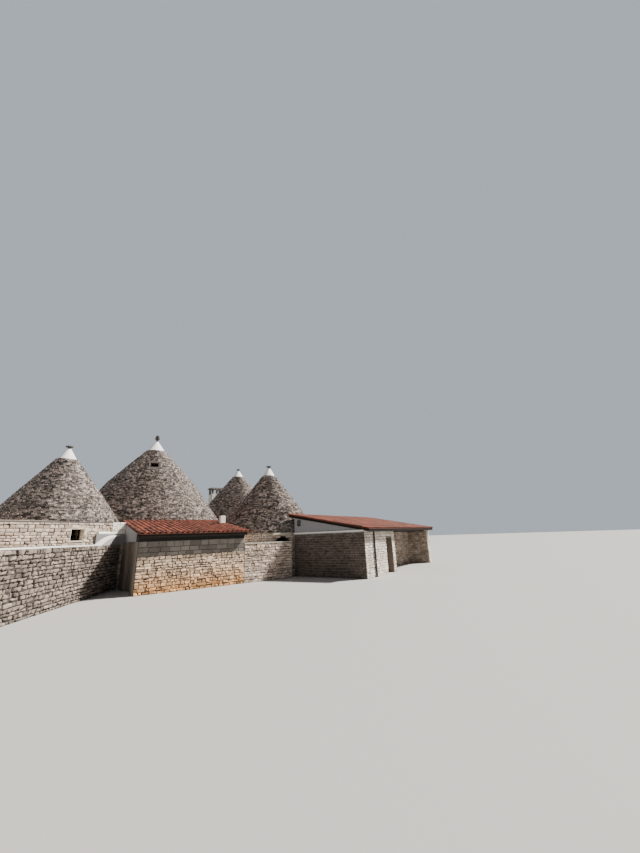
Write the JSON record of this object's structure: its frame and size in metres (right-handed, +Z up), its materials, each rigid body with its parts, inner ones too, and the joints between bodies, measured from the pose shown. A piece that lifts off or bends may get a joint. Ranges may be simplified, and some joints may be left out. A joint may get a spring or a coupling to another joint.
{
  "type": "trullo house",
  "caption": "Stone trullo house: conical-roofed round rooms with plaster caps, a tiled lean-to, a tiled side wing with a porch, and dry-stone garden walls",
  "frame": {"origin": "at ground level, in the middle of the foot of the lean-to's front wall", "axes": "+X runs along the lean-to's front wall to the right as seen from the front, +Y runs back into the house, +Z is up"},
  "size_m": [23.1226, 18.974, 8.15],
  "materials": {
    "field_stone": "lime-washed rubble",
    "shed_stone": "rubble with thin plaster",
    "dry_stone": "dry-laid rubble",
    "cone_stone": "weathered limestone roofing slabs",
    "pale_stone": "cut limestone",
    "finial_stone": "weathered limestone",
    "lime_plaster": "limewash over lime plaster",
    "roof_tile": "fired clay barrel tiles",
    "wing_tile": "fired clay barrel tiles",
    "timber": "aged timber",
    "old_boards": "aged vertical boards",
    "pipe_metal": "dark paint"
  },
  "bodies": {
    "root": {"lean_to_front_wall": "field_stone", "lean_to_left_wall": "field_stone", "lean_to_board_screen": "old_boards", "lean_to_plaster_gable": "lime_plaster", "lean_to_right_wall": "field_stone", "lean_to_back_wall": "field_stone", "lean_to_tile_roof": "roof_tile", "lean_to_rafters": "timber", "lean_to_fascia": "timber", "wing_fascia": "timber", "lean_to_vent_chimney": "lime_plaster", "big_trullo_front_wall": "field_stone", "big_trullo_back_wall": "field_stone", "big_trullo_cone": "cone_stone", "big_trullo_vent_frame": "pale_stone", "rear_trullo_front_wall": "field_stone", "rear_trullo_back_wall": "field_stone", "rear_trullo_cone": "cone_stone", "right_trullo_front_wall": "field_stone", "right_trullo_back_wall": "field_stone", "right_trullo_cone": "cone_stone", "left_house_front_wall": "field_stone", "left_house_right_wall": "field_stone", "left_house_back_wall": "field_stone", "left_house_left_wall": "field_stone", "left_house_shoulder_slab": "pale_stone", "left_house_cone": "cone_stone", "left_house_window_frame": "timber", "plaster_caps": "lime_plaster", "stone_finials": "finial_stone", "chimney_stack": "lime_plaster", "chimney_hood": "pale_stone", "wing_gable_wall": "shed_stone", "wing_room_front_wall": "shed_stone", "wing_porch_side_wall": "shed_stone", "wing_porch_back_wall": "shed_stone", "wing_porch_beam": "timber", "wing_end_wall": "shed_stone", "wing_rear_wall": "shed_stone", "wing_tile_roof": "wing_tile", "wing_rafters": "timber", "wing_ledge": "lime_plaster", "wing_downpipe": "pipe_metal", "garden_wall": "dry_stone", "garden_wall_coping": "lime_plaster", "forecourt_wall": "dry_stone", "forecourt_coping": "pale_stone", "doorway_canopy_slab": "pale_stone"}
  },
  "joints": []
}
